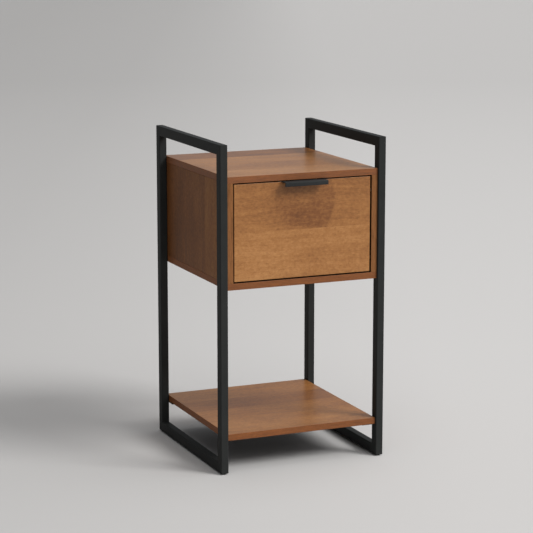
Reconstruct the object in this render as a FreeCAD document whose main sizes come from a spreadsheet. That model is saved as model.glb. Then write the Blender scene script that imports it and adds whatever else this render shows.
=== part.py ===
import FreeCAD, Part
import os
import re
import Sketcher

doc = FreeCAD.newDocument("side_table")
sheet = doc.addObject("Spreadsheet::Sheet", "dims")

# Driving sizes, in millimetres.
SIZES = [
    # whole table and the two steel side frames
    ("overall_height", 750),
    ("overall_width", 406),
    ("frame_depth", 408),
    ("tube_width", 18),
    ("tube_depth", 23),
    ("tube_wall", 1.5),
    ("tube_round", 2),
    # plastic glides under the frames
    ("foot_height", 3),
    ("foot_radius", 7.5),
    ("stem_radius", 3),
    ("stem_length", 8),
    # boards
    ("board_thick", 15),
    ("table_height", 678),
    ("cabinet_height", 255),
    ("cabinet_setback", 5),
    ("shelf_height", 92),
    ("shelf_setback", 5),
    ("edge_round", 0.8),
    ("panel_thick", 4),
    ("panel_inset", 16),
    ("groove_depth", 5),
    ("groove_play", 0.2),
    # shelf tabs
    ("tab_reach", 30),
    ("tab_length", 32),
    ("tab_thick", 3),
    ("tab_setback", 8),
    # carcass fittings
    ("cam_radius", 7.5),
    ("cam_depth", 12),
    ("cam_reach", 34),
    ("cam_inset", 50),
    ("cam_bolt_radius", 2.5),
    ("dowel_radius", 4),
    ("dowel_inset", 84),
    ("dowel_deep", 19),
    ("board_bite", 11),
    ("bolt_radius", 3),
    ("bolt_head_radius", 5),
    ("bolt_head_height", 3.5),
    ("bolt_sink", 4.5),
    ("bolt_inset", 12),
    ("bolt_rise", 35),
    ("nut_radius", 4.5),
    ("nut_length", 11),
    ("nut_flange_radius", 6),
    ("nut_flange", 1),
    # screws
    ("screw_radius", 2),
    ("screw_head_radius", 4),
    ("screw_head_height", 2.4),
    ("head_depth", 1),
    ("slim_head_radius", 3.5),
    ("slim_head_height", 0.9),
    ("pull_screw_radius", 1.5),
    ("hole_play", 0.1),
    # drawer
    ("front_gap", 2.8),
    ("front_recess", 2),
    ("box_thick", 12),
    ("box_height", 185),
    ("box_lift", 10),
    ("bottom_rise", 10),
    ("pull_length", 105),
    ("pull_reach", 20),
    ("pull_lip", 10),
    ("pull_thick", 2),
    ("pull_seat", 13),
    ("pull_rise", 1),
    ("front_screw_inset", 45),
    ("corner_screw_low", 35),
    ("corner_screw_high", 30),
    # ball-bearing slides
    ("slide_spare", 58),
    ("slide_thick", 12.7),
    ("slide_half", 22.5),
    ("rail_wall", 1.2),
    ("ball_radius", 1.6),
    ("ball_play", 0.2),
    ("cage_wall", 0.5),
    ("slide_play", 0.3),
    # machining
    ("overcut", 1),
    ("end_chamfer", 1),
    ("tip_space", 1),
    ("tip_taper", 0.8),
]

# Shares of the length or radius that each name gives.
SLIDE_SCREW_SHARES = (0.1, 0.46, 0.88)
CAGE_START_SHARE = 0.27
CAGE_LENGTH_SHARE = 0.43
FRONT_SCREW_SHARE = 0.7
PULL_SCREW_SHARE = 0.32
PULL_BEND_SHARE = 0.75
PULL_HEAD_SHARE = 0.8
RAIL_LIP_SHARE = 0.6
SCREW_RIM_SHARE = 0.4
SCREW_TOP_SHARE = 0.7
SCREW_RECESS_SHARE = 0.55
BOLT_RIM_SHARE = 0.6
BOLT_TOP_SHARE = 0.75
BOLT_RECESS_SHARE = 0.8
CAM_RECESS_SHARE = 0.4
RECESS_DEPTH_SHARE = 0.6
FOOT_SOLE_SHARE = 0.85
FOOT_RIM_SHARE = 0.4

# Sizes that follow from the ones above.
FOLLOWING = [
    ("in_half", "overall_width / 2 - tube_width"),
    ("tube_mid", "overall_width / 2 - tube_width / 2"),
    ("frame_front", "-(frame_depth - pull_reach + cabinet_setback) / 2"),
    ("frame_back", "frame_front + frame_depth"),
    ("cabinet_front", "frame_front + cabinet_setback"),
    ("cabinet_back", "frame_back - cabinet_setback"),
    ("cabinet_low", "table_height - cabinet_height"),
    ("bay_low", "cabinet_low + board_thick"),
    ("bay_high", "table_height - board_thick"),
    ("bay_half", "in_half - board_thick"),
    ("panel_mid", "in_half - board_thick / 2"),
    ("back_panel_front", "cabinet_back - panel_inset - panel_thick"),
    ("shelf_low", "shelf_height - board_thick"),
    ("shelf_front", "frame_front + shelf_setback"),
    ("shelf_back", "frame_back - shelf_setback"),
    ("front_tab", "shelf_front + tab_setback"),
    ("rear_tab", "shelf_back - tab_setback - tab_length"),
    ("slide_length", "frame_depth - slide_spare"),
    ("box_half", "bay_half - slide_thick"),
    ("box_in", "box_half - box_thick"),
    ("front_face", "cabinet_front + front_recess"),
    ("box_front", "front_face + board_thick"),
    ("box_back", "box_front + slide_length"),
    ("box_low", "bay_low + box_lift"),
    ("box_high", "box_low + box_height"),
    ("bottom_low", "box_low + bottom_rise"),
    ("slide_mid", "(box_low + box_high) / 2"),
    ("front_high", "bay_high - front_gap"),
    ("pull_high", "front_high + pull_rise"),
    ("pull_screw_depth", "(front_face + cabinet_front + pull_seat) / 2"),
    ("front_low", "bay_low + front_gap"),
    ("front_half", "bay_half - front_gap"),
    ("ball_space", "2 * (ball_radius + ball_play)"),
    ("outer_ball_height", "slide_half - rail_wall - ball_space / 2"),
    ("middle_half", "slide_half - rail_wall - ball_space"),
    ("inner_ball_height", "middle_half - rail_wall - ball_space / 2"),
    ("drawer_rail_half", "middle_half - rail_wall - ball_space"),
    ("outer_cage_face", "rail_wall + slim_head_height + slide_play"),
    ("middle_face", "outer_cage_face + cage_wall + slide_play"),
    ("outer_ball_depth", "middle_face + ball_radius"),
    ("outer_lip_inside", "outer_ball_depth + ball_radius + slide_play"),
    ("inner_cage_face", "middle_face + rail_wall + slide_play"),
    ("drawer_rail_face", "inner_cage_face + cage_wall + slide_play"),
    ("inner_ball_depth", "drawer_rail_face + ball_radius"),
    ("middle_arm_end", "inner_ball_depth + ball_radius + slide_play"),
    ("cage_start", "box_front + slide_length * %s" % CAGE_START_SHARE),
    ("cage_length", "slide_length * %s" % CAGE_LENGTH_SHARE),
]

BALLS_PER_ROW = 10
NEAR = 0.01
SIDES = (("left", -1), ("right", 1))

X_TURN = FreeCAD.Vector(1, 0, 0)
Y_TURN = FreeCAD.Vector(0, 1, 0)
TURNS = {
    "+x": FreeCAD.Rotation(Y_TURN, 90),
    "-x": FreeCAD.Rotation(Y_TURN, -90),
    "+y": FreeCAD.Rotation(X_TURN, -90),
    "-y": FreeCAD.Rotation(X_TURN, 90),
    "+z": FreeCAD.Rotation(),
    "-z": FreeCAD.Rotation(X_TURN, 180),
}

# For each drilling axis: the body's plane, the two in-plane axes, and the sign of the plane's normal.
PLANES = {
    "x": ("YZ_Plane", 1, 2, 1),
    "y": ("XZ_Plane", 0, 2, -1),
    "z": ("XY_Plane", 0, 1, 1),
}

corners = {}
nodes = []


def fill_sheet():
    """Write every size and every formula into the sheet, each under its own name."""
    rows = [(name, str(size)) for name, size in SIZES]
    rows += [(name, "=" + formula) for name, formula in FOLLOWING]
    for row, (name, text) in enumerate(rows, start=1):
        sheet.set("A%d" % row, name)
        sheet.set("B%d" % row, text)
        sheet.setAlias("B%d" % row, name)
    doc.recompute()


def named(text):
    """The formula with each size name pointing into the sheet."""
    return re.sub(r"[a-z_]{2,}", lambda word: "dims." + word.group(0), str(text))


def value(text):
    """The formula's present value."""
    result = sheet.evalExpression(named(text))
    return float(getattr(result, "Value", result))


def bind(thing, prop, text):
    """Tie a property to a formula."""
    thing.setExpression(prop, named(text))


def new_body(name, corner=("0", "0", "0")):
    """An empty body whose local zero sits at the given corner."""
    body = doc.addObject("PartDesign::Body", name)
    for axis, text in zip("xyz", corner):
        if text != "0":
            bind(body, ".Placement.Base." + axis, text)
    corners[name] = corner
    return body


def local(body, point):
    """A point of the table, as formulas from the body's own corner."""
    pairs = zip(point, corners[body.Name])
    return ["(%s) - (%s)" % (place, corner) if corner != "0" else place for place, corner in pairs]


def new_sketch(body, axis, height):
    """A sketch across the axis, at the given height along it."""
    plane_role, _, _, normal = PLANES[axis]
    plane = next(item for item in body.Origin.OriginFeatures if item.Role == plane_role)
    sketch = body.newObject("Sketcher::SketchObject", body.Name + "_sketch")
    sketch.AttachmentSupport = (plane, "")
    sketch.MapMode = "FlatFace"
    if height != "0":
        bind(sketch, ".AttachmentOffset.Base.z", "%d * (%s)" % (normal, height))
    return sketch


def pin_point(sketch, edge, end, x, y):
    """Hold one point of an edge at two formulas."""
    for kind, text, zero_line in (("DistanceX", x, -2), ("DistanceY", y, -1)):
        if text == "0":
            sketch.addConstraint(Sketcher.Constraint("PointOnObject", edge, end, zero_line))
            continue
        index = sketch.addConstraint(Sketcher.Constraint(kind, -1, 1, edge, end, value(text)))
        bind(sketch, "Constraints[%d]" % index, text)


def draw_outline(sketch, points):
    """A closed outline through points given as pairs of formulas."""
    spots = [FreeCAD.Vector(value(x), value(y), 0) for x, y in points]
    first = sketch.GeometryCount
    count = len(points)
    for i in range(count):
        sketch.addGeometry(Part.LineSegment(spots[i], spots[(i + 1) % count]), False)
    for i in range(count):
        following = first + (i + 1) % count
        sketch.addConstraint(Sketcher.Constraint("Coincident", first + i, 2, following, 1))
    for i, (x, y) in enumerate(points):
        pin_point(sketch, first + i, 1, x, y)


def draw_circles(sketch, centres, radius):
    """Equal circles at centres given as pairs of formulas."""
    for i, (x, y) in enumerate(centres):
        centre = FreeCAD.Vector(value(x), value(y), 0)
        circle = Part.Circle(centre, FreeCAD.Vector(0, 0, 1), value(radius))
        edge = sketch.addGeometry(circle, False)
        pin_point(sketch, edge, 3, x, y)
        if i:
            sketch.addConstraint(Sketcher.Constraint("Equal", 0, edge))
        else:
            index = sketch.addConstraint(Sketcher.Constraint("Radius", edge, value(radius)))
            bind(sketch, "Constraints[%d]" % index, radius)


def rectangle(x_low, x_high, y_low, y_high):
    """The four corners of a rectangle."""
    return [(x_low, y_low), (x_high, y_low), (x_high, y_high), (x_low, y_high)]


def add_pad(body, sketch, axis, length):
    """Grow the sketch along the positive axis."""
    pad = body.newObject("PartDesign::Pad", body.Name + "_pad")
    pad.Profile = sketch
    pad.Reversed = PLANES[axis][3] < 0
    bind(pad, "Length", length)
    sketch.Visibility = False
    return pad


def add_pocket(body, sketch, direction, depth):
    """Cut the sketch into the body along a signed axis, or both ways with no sign."""
    pocket = body.newObject("PartDesign::Pocket", body.Name + "_cut")
    pocket.Profile = sketch
    if direction[0] in "+-":
        forward = direction[0] == "+"
        pocket.Reversed = forward == (PLANES[direction[1]][3] > 0)
    else:
        pocket.SideType = "Symmetric"
    bind(pocket, "Length", depth)
    sketch.Visibility = False
    return pocket


def round_edges(body, feature, wanted, radius):
    """Round the edges whose end points all pass the test."""
    doc.recompute()
    picked = []
    for i, edge in enumerate(feature.Shape.Edges, start=1):
        if wanted([vertex.Point for vertex in edge.Vertexes]):
            picked.append("Edge%d" % i)
    fillet = body.newObject("PartDesign::Fillet", body.Name + "_round")
    fillet.Base = (feature, picked)
    bind(fillet, "Radius", radius)
    return fillet


def slab(name, low, high, rounded=True):
    """A board between two corners, with lightly rounded edges."""
    body = new_body(name, low)
    size = ["(%s) - (%s)" % pair for pair in zip(high, low)]
    sketch = new_sketch(body, "z", "0")
    draw_outline(sketch, rectangle("0", size[0], "0", size[1]))
    pad = add_pad(body, sketch, "z", size[2])
    if rounded:
        round_edges(body, pad, lambda ends: True, "edge_round")
    return body


def cut_box(body, low, high):
    """Cut a rectangular recess between two corners."""
    low = local(body, low)
    high = local(body, high)
    sketch = new_sketch(body, "z", high[2])
    draw_outline(sketch, rectangle(low[0], high[0], low[1], high[1]))
    add_pocket(body, sketch, "-z", "(%s) - (%s)" % (high[2], low[2]))


def drill(body, direction, radius, depth, mouths):
    """Drill equal holes from their mouths along a signed axis."""
    axis = direction[-1]
    _, across, up, _ = PLANES[axis]
    spots = [local(body, mouth) for mouth in mouths]
    sketch = new_sketch(body, axis, spots[0]["xyz".index(axis)])
    draw_circles(sketch, [(spot[across], spot[up]) for spot in spots], radius)
    add_pocket(body, sketch, direction, depth)


def turned(name, points):
    """A round part from an outline of radius and height."""
    body = new_body(name)
    sketch = new_sketch(body, "y", "0")
    draw_outline(sketch, points)
    spin = body.newObject("PartDesign::Revolution", name + "_turn")
    spin.Profile = sketch
    spin.ReferenceAxis = (sketch, ["V_Axis"])
    spin.Angle = 360
    sketch.Visibility = False
    return body


def cut_cross(body, reach, height, depth):
    """Cut a cross recess into a screw head."""
    arm = "(%s) / 4" % reach
    for wide, tall in ((reach, arm), (arm, reach)):
        sketch = new_sketch(body, "z", height)
        draw_outline(sketch, rectangle("-(%s)" % wide, wide, "-(%s)" % tall, tall))
        add_pocket(body, sketch, "-z", depth)


def screw(name, radius, length, head_radius, head_height):
    """A pan-head wood screw pointing down from its head seat at zero."""
    outline = [
        ("0", "-(%s)" % length),
        (radius, "2 * %s - (%s)" % (radius, length)),
        (radius, "0"),
        (head_radius, "0"),
        (head_radius, "%s * %s" % (head_height, SCREW_RIM_SHARE)),
        ("%s * %s" % (head_radius, SCREW_TOP_SHARE), head_height),
        ("0", head_height),
    ]
    body = turned(name, outline)
    reach = "%s * %s" % (head_radius, SCREW_RECESS_SHARE)
    cut_cross(body, reach, head_height, "%s * %s" % (head_height, RECESS_DEPTH_SHARE))
    return body


def keep(node, thing):
    """Mark a finished object as one node of the table."""
    thing.Label = node
    nodes.append((node, thing))
    return thing


def group(node, master, places):
    """Repeat one part at places given as x, y, z and the way its local z points."""
    links = []
    for x, y, z, direction in places:
        link = doc.addObject("App::Link", node + "_copy")
        link.LinkedObject = master
        link.Placement = FreeCAD.Placement(FreeCAD.Vector(), TURNS[direction])
        for axis, text in zip("xyz", (x, y, z)):
            bind(link, ".Placement.Base." + axis, text)
        links.append(link)
    whole = doc.addObject("Part::Compound", node + "_group")
    whole.Links = links
    keep(node, whole)


def signed(sign, text):
    """The formula on the left or the right side."""
    return "%d * (%s)" % (sign, text)


def tube_section(body, axis, x_size, y_size, length):
    """A hollow rectangular tube with rounded outer corners, along the axis."""
    sketch = new_sketch(body, axis, "0")
    draw_outline(sketch, rectangle("0", x_size, "0", y_size))
    inner = rectangle("tube_wall", "%s - tube_wall" % x_size, "tube_wall", "%s - tube_wall" % y_size)
    draw_outline(sketch, inner)
    pad = add_pad(body, sketch, axis, length)
    along = "xyz".index(axis)
    across = [PLANES[axis][1], PLANES[axis][2]]
    limits = (value(x_size), value(y_size))

    def outer_corner(ends):
        lengthwise = abs(ends[0][along] - ends[-1][along]) > value("tube_depth")
        off_face = [min(abs(ends[0][k]), abs(ends[0][k] - limit)) for k, limit in zip(across, limits)]
        return lengthwise and max(off_face) < NEAR

    round_edges(body, pad, outer_corner, "tube_round")


def mitre(body, points):
    """Cut a triangle of y and z formulas right across the tube."""
    sketch = new_sketch(body, "x", "0")
    spots = [local(body, ("0", y, z)) for y, z in points]
    draw_outline(sketch, [(spot[1], spot[2]) for spot in spots])
    add_pocket(body, sketch, "x", "4 * tube_width")


def frame_corner(y_side, z_side):
    """Outer corner, inner corner and the two square corners of a mitre."""
    y_out = "frame_front" if y_side < 0 else "frame_back"
    z_out = "foot_height" if z_side < 0 else "overall_height"
    y_in = "%s - (%d) * tube_depth" % (y_out, y_side)
    z_in = "%s - (%d) * tube_depth" % (z_out, z_side)
    return y_out, y_in, z_out, z_in


def build_post(node, side, y_side):
    """One upright tube, mitred at both ends, with the holes for its rivet nuts."""
    x_low = "-overall_width / 2" if side < 0 else "in_half"
    y_low = "frame_front" if y_side < 0 else "frame_back - tube_depth"
    post = new_body(node, (x_low, y_low, "foot_height"))
    tube_section(post, "z", "tube_width", "tube_depth", "overall_height - foot_height")
    for z_side in (-1, 1):
        y_out, y_in, z_out, z_in = frame_corner(y_side, z_side)
        mitre(post, [(y_out, z_out), (y_in, z_out), (y_in, z_in)])
    y_bolt = bolt_depths()[0 if y_side < 0 else 1]
    mouths = [(signed(side, "in_half"), y_bolt, z) for z in bolt_heights()]
    outward = "+x" if side > 0 else "-x"
    drill(post, outward, "nut_radius + hole_play / 2", "2 * tube_wall", mouths)
    keep(node, post)


def build_rail(node, side, z_side):
    """One level tube, mitred at both ends; the lower ones take the glide stems."""
    x_low = "-overall_width / 2" if side < 0 else "in_half"
    z_low = "foot_height" if z_side < 0 else "overall_height - tube_depth"
    rail = new_body(node, (x_low, "frame_front", z_low))
    tube_section(rail, "y", "tube_width", "tube_depth", "frame_depth")
    for y_side in (-1, 1):
        y_out, y_in, z_out, z_in = frame_corner(y_side, z_side)
        mitre(rail, [(y_out, z_out), (y_out, z_in), (y_in, z_in)])
    if z_side < 0:
        mouths = [(signed(side, "tube_mid"), y, "foot_height") for y in foot_depths()]
        drill(rail, "+z", "stem_radius + hole_play / 2", "2 * tube_wall", mouths)
    keep(node, rail)


def foot_depths():
    """Where the glides stand, front and back."""
    return ("frame_front + tube_depth / 2", "frame_back - tube_depth / 2")


def bolt_depths():
    """Where the frame bolts pass, front and back."""
    return ("frame_front + bolt_inset", "frame_back - bolt_inset")


def bolt_heights():
    """The two heights of the frame bolts."""
    return ("bay_low + bolt_rise", "bay_high - bolt_rise")


def build_frames():
    """Two welded side loops of mitred tube, standing on glides."""
    for word, side in SIDES:
        build_post(word + "_front_post", side, -1)
        build_post(word + "_rear_post", side, 1)
        build_rail(word + "_top_rail", side, 1)
        build_rail(word + "_bottom_rail", side, -1)
    outline = [
        ("0", "0"),
        ("foot_radius * %s" % FOOT_SOLE_SHARE, "0"),
        ("foot_radius", "foot_height * %s" % FOOT_RIM_SHARE),
        ("foot_radius", "foot_height"),
        ("stem_radius", "foot_height"),
        ("stem_radius", "foot_height + stem_length"),
        ("0", "foot_height + stem_length"),
    ]
    glide = turned("glide_one", outline)
    spots = [(signed(side, "tube_mid"), y, "0", "+z") for _, side in SIDES for y in foot_depths()]
    group("foot_glides", glide, spots)


def shelf_screw_spots():
    """The four shelf screw centres, each in the middle of its tab."""
    xs = [signed(side, "in_half - tab_reach / 2") for _, side in SIDES]
    return [(x, y + " + tab_length / 2") for x in xs for y in ("front_tab", "rear_tab")]


def build_shelf():
    """The lower shelf, the tabs welded under it and its screws."""
    shelf = slab(
        "shelf",
        ("-in_half", "shelf_front", "shelf_low"),
        ("in_half", "shelf_back", "shelf_height"),
    )
    spots = shelf_screw_spots()
    mouths = [(x, y, "shelf_low") for x, y in spots]
    drill(shelf, "+z", "screw_radius + hole_play / 2", "board_bite", mouths)
    keep("shelf", shelf)
    tab = slab("tab_one", ("0", "0", "0"), ("tab_reach", "tab_length", "tab_thick"), rounded=False)
    drill(tab, "+z", "screw_radius + hole_play", "tab_thick", [("tab_reach / 2", "tab_length / 2", "0")])
    tabs = [(x, y) for x in ("-in_half", "in_half - tab_reach") for y in ("front_tab", "rear_tab")]
    group("shelf_brackets", tab, [(x, y, "shelf_low - tab_thick", "+z") for x, y in tabs])
    shank = "tab_thick + board_bite - tip_space"
    pin = screw("shelf_screw_one", "screw_radius", shank, "screw_head_radius", "screw_head_height")
    group("shelf_screws", pin, [(x, y, "shelf_low - tab_thick", "-z") for x, y in spots])


def cam_depths():
    """Where the cam fittings sit, front and back."""
    return ("cabinet_front + cam_inset", "cabinet_back - cam_inset")


def dowel_depths():
    """Where the dowels sit, front and back."""
    return ("cabinet_front + dowel_inset", "cabinet_back - dowel_inset")


def build_wide_boards():
    """The top and bottom boards of the cabinet, drilled and grooved to match the sides."""
    makes = (
        ("top_board", "bay_high", "table_height", "+z"),
        ("bottom_board", "cabinet_low", "bay_low", "-z"),
    )
    for node, low, high, direction in makes:
        board = slab(node, ("-in_half", "cabinet_front", low), ("in_half", "cabinet_back", high))
        face = low if direction == "+z" else high
        far = "%s %s groove_depth" % (face, direction[0])
        groove = sorted((face, far), key=value)
        cut_box(
            board,
            ("-(bay_half + groove_depth)", "back_panel_front - groove_play / 2", groove[0]),
            ("bay_half + groove_depth", "back_panel_front + panel_thick + groove_play / 2", groove[1]),
        )
        xs = [signed(side, "panel_mid") for _, side in SIDES]
        bolts = [(x, y, face) for x in xs for y in cam_depths()]
        dowels = [(x, y, face) for x in xs for y in dowel_depths()]
        drill(board, direction, "cam_bolt_radius + hole_play / 2", "board_bite", bolts)
        drill(board, direction, "dowel_radius + hole_play / 2", "board_bite", dowels)
        keep(node, board)


def slide_screw_depths():
    """Where the slide screws sit along the slide."""
    return ["box_front + slide_length * %s" % share for share in SLIDE_SCREW_SHARES]


def build_side_panels():
    """The two cabinet sides with their bores for cams, dowels, frame bolts and slide screws."""
    for word, side in SIDES:
        node = word + "_side_panel"
        inner = signed(side, "bay_half")
        outer = signed(side, "in_half")
        x_low, x_high = sorted((inner, outer), key=value)
        panel = slab(node, (x_low, "cabinet_front", "bay_low"), (x_high, "cabinet_back", "bay_high"))
        outward = "+x" if side > 0 else "-x"
        inward = "-x" if side > 0 else "+x"
        far = signed(side, "bay_half + groove_depth")
        groove = sorted((inner, far), key=value)
        cut_box(
            panel,
            (groove[0], "back_panel_front - groove_play / 2", "bay_low"),
            (groove[1], "back_panel_front + panel_thick + groove_play / 2", "bay_high"),
        )
        cams = [(inner, y, z) for y in cam_depths() for z in cam_heights()]
        drill(panel, outward, "cam_radius + hole_play / 2", "cam_depth", cams)
        middle = signed(side, "panel_mid")
        for z, direction in (("bay_low", "+z"), ("bay_high", "-z")):
            bolts = [(middle, y, z) for y in cam_depths()]
            dowels = [(middle, y, z) for y in dowel_depths()]
            drill(panel, direction, "cam_bolt_radius + hole_play", "cam_reach", bolts)
            drill(panel, direction, "dowel_radius + hole_play / 2", "dowel_deep", dowels)
        bolts = [(inner, y, z) for y in bolt_depths() for z in bolt_heights()]
        nuts = [(outer, y, z) for y in bolt_depths() for z in bolt_heights()]
        drill(panel, outward, "bolt_head_radius + hole_play", "bolt_sink", bolts)
        drill(panel, outward, "bolt_radius + hole_play", "board_thick", bolts)
        drill(panel, inward, "nut_flange_radius + hole_play", "nut_flange", nuts)
        screws = [(inner, y, "slide_mid") for y in slide_screw_depths()]
        drill(panel, outward, "screw_radius + hole_play / 2", "board_bite", screws)
        keep(node, panel)


def cam_heights():
    """The two heights of the cam centres."""
    return ("bay_low + cam_reach", "bay_high - cam_reach")


def build_back_panel():
    """The thin back panel standing in the grooves."""
    reach = "groove_depth - groove_play"
    panel = slab(
        "back_panel",
        ("-(bay_half + %s)" % reach, "back_panel_front", "bay_low - (%s)" % reach),
        ("bay_half + %s" % reach, "back_panel_front + panel_thick", "bay_high + %s" % reach),
        rounded=False,
    )
    keep("back_panel", panel)


def build_carcass_fittings():
    """Cams, cam bolts, dowels, frame bolts and rivet nuts."""
    cam = turned("cam_one", rectangle("0", "cam_radius", "-cam_depth", "0"))
    drill(cam, "x", "cam_bolt_radius + hole_play", "4 * cam_radius", [("0", "0", "-board_thick / 2")])
    cut_cross(cam, "cam_radius * %s" % CAM_RECESS_SHARE, "0", "rail_wall * 2")
    turns = {-1: "+x", 1: "-x"}
    spots = []
    for _, side in SIDES:
        x = signed(side, "bay_half")
        spots += [(x, y, z, turns[side]) for y in cam_depths() for z in cam_heights()]
    group("cam_housings", cam, spots)

    length = "cam_reach + cam_bolt_radius"
    outline = [
        ("0", "-(%s)" % length),
        ("cam_bolt_radius", "-(%s)" % length),
        ("cam_bolt_radius", "board_bite - end_chamfer"),
        ("cam_bolt_radius - tip_taper", "board_bite - hole_play"),
        ("0", "board_bite - hole_play"),
    ]
    pin = turned("cam_bolt_one", outline)
    xs = [signed(side, "panel_mid") for _, side in SIDES]
    ends = (("bay_high", "+z"), ("bay_low", "-z"))
    group("cam_bolts", pin, [(x, y, z, way) for x in xs for y in cam_depths() for z, way in ends])

    outline = [
        ("0", "hole_play - dowel_deep"),
        ("dowel_radius - tip_taper", "hole_play - dowel_deep"),
        ("dowel_radius", "end_chamfer - dowel_deep"),
        ("dowel_radius", "board_bite - end_chamfer"),
        ("dowel_radius - tip_taper", "board_bite - hole_play"),
        ("0", "board_bite - hole_play"),
    ]
    dowel = turned("dowel_one", outline)
    spots = [(x, y, z, way) for x in xs for y in dowel_depths() for z, way in ends]
    group("carcass_dowels", dowel, spots)

    reach = "board_thick - bolt_sink + nut_length - tip_space"
    outline = [
        ("0", "-(%s)" % reach),
        ("bolt_radius", "-(%s)" % reach),
        ("bolt_radius", "0"),
        ("bolt_head_radius", "0"),
        ("bolt_head_radius", "bolt_head_height * %s" % BOLT_RIM_SHARE),
        ("bolt_head_radius * %s" % BOLT_TOP_SHARE, "bolt_head_height"),
        ("0", "bolt_head_height"),
    ]
    bolt = turned("frame_bolt_one", outline)
    depth = "bolt_head_height * %s" % RECESS_DEPTH_SHARE
    cut_cross(bolt, "bolt_radius * %s" % BOLT_RECESS_SHARE, "bolt_head_height", depth)
    bore = "bolt_radius + hole_play / 2"
    outline = [
        (bore, "-nut_flange"),
        ("nut_flange_radius", "-nut_flange"),
        ("nut_flange_radius", "0"),
        ("nut_radius", "0"),
        ("nut_radius", "nut_length"),
        (bore, "nut_length"),
    ]
    nut = turned("rivet_nut_one", outline)
    bolts = []
    nuts = []
    for _, side in SIDES:
        seat = signed(side, "bay_half + bolt_sink")
        face = signed(side, "in_half")
        for y in bolt_depths():
            for z in bolt_heights():
                bolts.append((seat, y, z, turns[side]))
                nuts.append((face, y, z, turns[-side]))
    group("frame_bolts", bolt, bolts)
    group("rivet_nuts", nut, nuts)


def front_screw_spots():
    """Where the drawer front is screwed on from inside."""
    xs = [signed(side, "box_in * %s" % FRONT_SCREW_SHARE) for _, side in SIDES]
    zs = ("box_low + front_screw_inset", "box_high - front_screw_inset")
    return [(x, z) for x in xs for z in zs]


def pull_screw_spots():
    """Where the pull is screwed down."""
    return [(signed(side, "pull_length * %s" % PULL_SCREW_SHARE), "pull_screw_depth") for _, side in SIDES]


def build_drawer_front():
    """The inset drawer front with a seat for the pull in its top edge."""
    front = slab(
        "drawer_front",
        ("-front_half", "front_face", "front_low"),
        ("front_half", "box_front", "front_high"),
    )
    cut_box(
        front,
        ("-(pull_length / 2 + hole_play)", "front_face - overcut", "pull_high - pull_thick"),
        ("pull_length / 2 + hole_play", "cabinet_front + pull_seat + hole_play", "pull_high + overcut"),
    )
    behind = [(x, "box_front", z) for x, z in front_screw_spots()]
    drill(front, "-y", "screw_radius + hole_play / 2", "board_bite", behind)
    above = [(x, y, "pull_high - pull_thick") for x, y in pull_screw_spots()]
    drill(front, "-z", "pull_screw_radius + hole_play / 2", "board_thick", above)
    keep("drawer_front", front)


def bottom_groove_edges():
    """Lower and upper edge of the groove for the drawer bottom."""
    return ("bottom_low - groove_play / 2", "bottom_low + panel_thick + groove_play / 2")


def corner_screw_heights():
    """Heights of the screws through the drawer corners."""
    return ("box_low + corner_screw_low", "box_high - corner_screw_high")


def corner_screw_depths():
    """Depths of the screws through the drawer corners."""
    return ("box_front + box_thick / 2", "box_back - box_thick / 2")


def build_drawer_ends():
    """The inner front and the back of the drawer box."""
    low, high = bottom_groove_edges()
    makes = (
        ("drawer_inner_front", "box_front", "box_front + box_thick", 1),
        ("drawer_back", "box_back - box_thick", "box_back", -1),
    )
    for node, y_low, y_high, inward in makes:
        board = slab(node, ("-box_in", y_low, "box_low"), ("box_in", y_high, "box_high"))
        inner = y_high if inward > 0 else y_low
        edges = sorted((inner, "%s - (%d) * groove_depth" % (inner, inward)), key=value)
        cut_box(board, ("-box_in", edges[0], low), ("box_in", edges[1], high))
        y_mid = "(%s + %s) / 2" % (y_low, y_high)
        for x, way in (("-box_in", "+x"), ("box_in", "-x")):
            mouths = [(x, y_mid, z) for z in corner_screw_heights()]
            drill(board, way, "screw_radius + hole_play / 2", "2 * board_bite", mouths)
        if inward > 0:
            mouths = [(x, y_high, z) for x, z in front_screw_spots()]
            drill(board, "-y", "screw_radius + hole_play", "box_thick", mouths)
        keep(node, board)


def build_drawer_sides():
    """The two sides of the drawer box."""
    low, high = bottom_groove_edges()
    for word, side in SIDES:
        node = "drawer_%s_side" % word
        inner = signed(side, "box_in")
        outer = signed(side, "box_half")
        x_low, x_high = sorted((inner, outer), key=value)
        board = slab(node, (x_low, "box_front", "box_low"), (x_high, "box_back", "box_high"))
        edges = sorted((inner, signed(side, "box_in + groove_depth")), key=value)
        cut_box(
            board,
            (edges[0], "box_front + box_thick - groove_depth", low),
            (edges[1], "box_back - box_thick + groove_depth", high),
        )
        inward = "-x" if side > 0 else "+x"
        corners_at = [(outer, y, z) for y in corner_screw_depths() for z in corner_screw_heights()]
        drill(board, inward, "screw_head_radius + hole_play", "screw_head_height + head_depth", corners_at)
        drill(board, inward, "screw_radius + hole_play", "box_thick", corners_at)
        screws = [(outer, y, "slide_mid") for y in slide_screw_depths()]
        drill(board, inward, "screw_radius + hole_play / 2", "box_thick - rail_wall", screws)
        keep(node, board)


def build_drawer_bottom():
    """The thin drawer bottom held in grooves all round."""
    reach = "groove_depth - groove_play"
    bottom = slab(
        "drawer_bottom",
        ("-(box_in + %s)" % reach, "box_front + box_thick - (%s)" % reach, "bottom_low"),
        ("box_in + %s" % reach, "box_back - box_thick + %s" % reach, "bottom_low + panel_thick"),
        rounded=False,
    )
    keep("drawer_bottom", bottom)


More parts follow.
